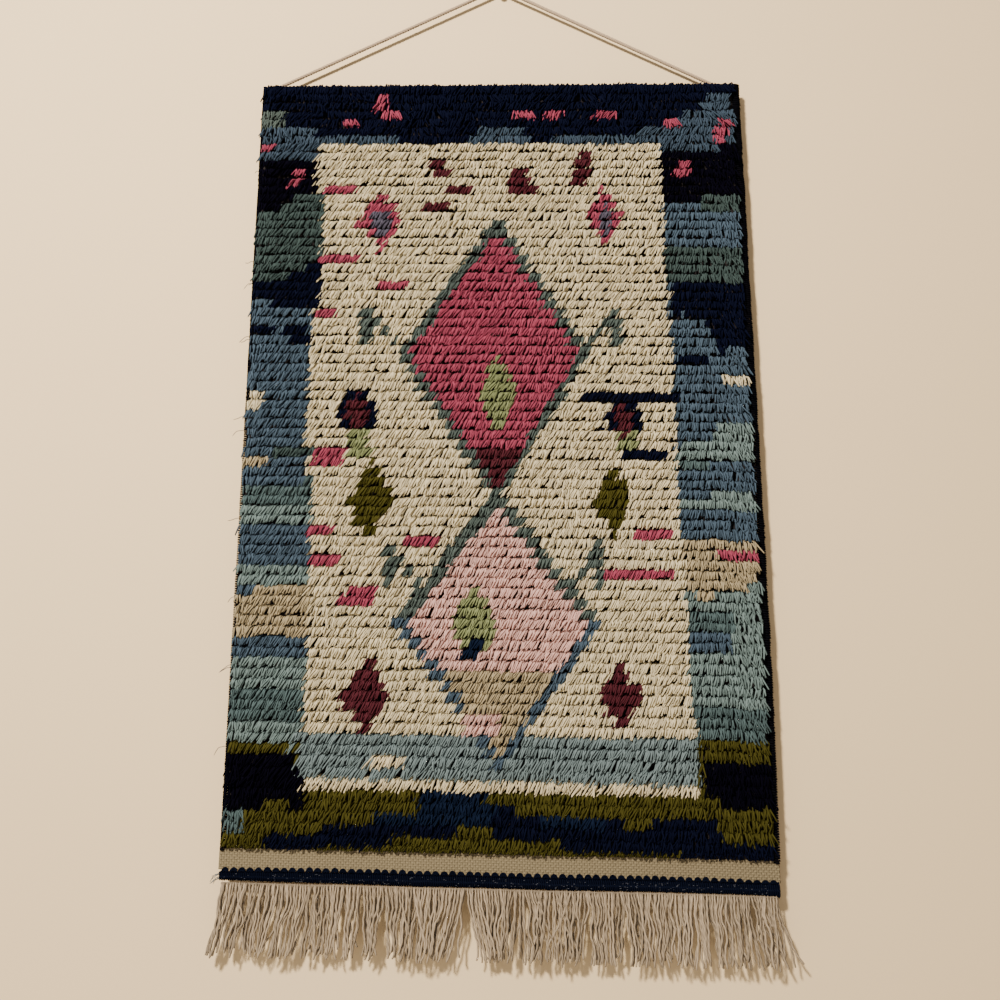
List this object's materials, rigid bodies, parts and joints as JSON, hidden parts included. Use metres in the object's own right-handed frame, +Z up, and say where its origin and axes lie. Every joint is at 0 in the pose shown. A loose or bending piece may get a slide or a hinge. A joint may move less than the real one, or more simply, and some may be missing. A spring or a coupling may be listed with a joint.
{
  "type": "tapestry wall hanging",
  "caption": "Knotted-pile rug hung flat on a wall from a hidden rod and a taut cord, with diamonds on a pale field, a dark border and a long fringe.",
  "frame": {"origin": "on the wall plug's axis, at the wall's face", "axes": "+X to the right as seen from the room, +Y into the wall along the plug, +Z up"},
  "size_m": [0.626, 0.066, 1.1917],
  "materials": {
    "plug_plastic": "moulded grey nylon",
    "screw_steel": "zinc-plated steel",
    "cord_cotton": "twisted beige cotton cord",
    "rod_wood": "plain unvarnished dowel",
    "sleeve_webbing": "cotton webbing",
    "stitch_thread": "strong sewing thread",
    "weave_dark": "dark linen and wool ground weave",
    "selvedge_black": "black wool overcasting",
    "wool_cream": "cream wool pile",
    "wool_raspberry": "raspberry wool pile",
    "wool_maroon": "maroon wool pile",
    "wool_pale_pink": "pale pink wool pile",
    "wool_sand": "sand wool pile",
    "wool_light_green": "light green wool pile",
    "wool_slate": "slate green wool pile",
    "wool_blue": "steel blue wool pile",
    "wool_seafoam": "sea green wool pile",
    "wool_navy": "navy wool pile",
    "wool_black": "blue-black wool pile",
    "wool_olive": "olive wool pile",
    "band_linen": "flat-woven beige linen",
    "edging_navy": "navy stitched edging",
    "fringe_cotton": "unbleached twisted warp ends"
  },
  "bodies": {
    "wall_fixing": {"wall_plug": "plug_plastic", "wall_screw": "screw_steel"},
    "hanger": {"hanging_rod": "rod_wood", "hanging_cord": "cord_cotton", "cord_knot_left": "cord_cotton", "cord_knot_right": "cord_cotton"},
    "rug": {"rod_sleeve": "sleeve_webbing", "sleeve_stitches": "stitch_thread", "ground_weave": "weave_dark", "selvedge_left": "selvedge_black", "selvedge_right": "selvedge_black", "red_diamond_leaf_pile": "wool_light_green", "red_diamond_tip_pile": "wool_maroon", "red_diamond_pile": "wool_raspberry", "red_diamond_outline_pile": "wool_slate", "pink_diamond_leaf_pile": "wool_light_green", "pink_diamond_base_pile": "wool_sand", "pink_diamond_pile": "wool_pale_pink", "pink_diamond_outline_pile": "wool_slate", "hook_pile": "wool_slate", "lozenge_pile": "wool_raspberry", "maroon_fleck_pile": "wool_maroon", "pink_dash_pile": "wool_raspberry", "navy_dash_pile": "wool_navy", "flower_pile": "wool_maroon", "olive_leaf_pile": "wool_olive", "maroon_leaf_pile": "wool_maroon", "corner_block_pile": "wool_black", "bottom_band_pile": "wool_seafoam", "field_pile": "wool_cream", "top_border_pile": "wool_navy", "left_border_pile": "wool_blue", "right_border_pile": "wool_blue", "bottom_border_pile": "wool_olive", "end_band": "band_linen", "edging_band": "edging_navy", "edging_teeth": "edging_navy", "fringe_heading": "fringe_cotton"},
    "fringe": {"fringe_front": "fringe_cotton", "fringe_back": "fringe_cotton"}
  },
  "joints": [
    {"name": "sway", "type": "hinge", "parent": "wall_fixing", "child": "hanger", "pos_m": [0, -0.01, 0], "axis": [0, 1, 0], "range_deg": [-8, 8]},
    {"name": "lift", "type": "hinge", "parent": "hanger", "child": "rug", "pos_m": [0, -0.01, -0.158], "axis": [-1, 0, 0], "range_deg": [0, 25]},
    {"name": "fringe_swing", "type": "hinge", "parent": "rug", "child": "fringe", "pos_m": [0, -0.02075, -1.1138], "axis": [-1, 0, 0], "range_deg": [-10, 80]}
  ]
}
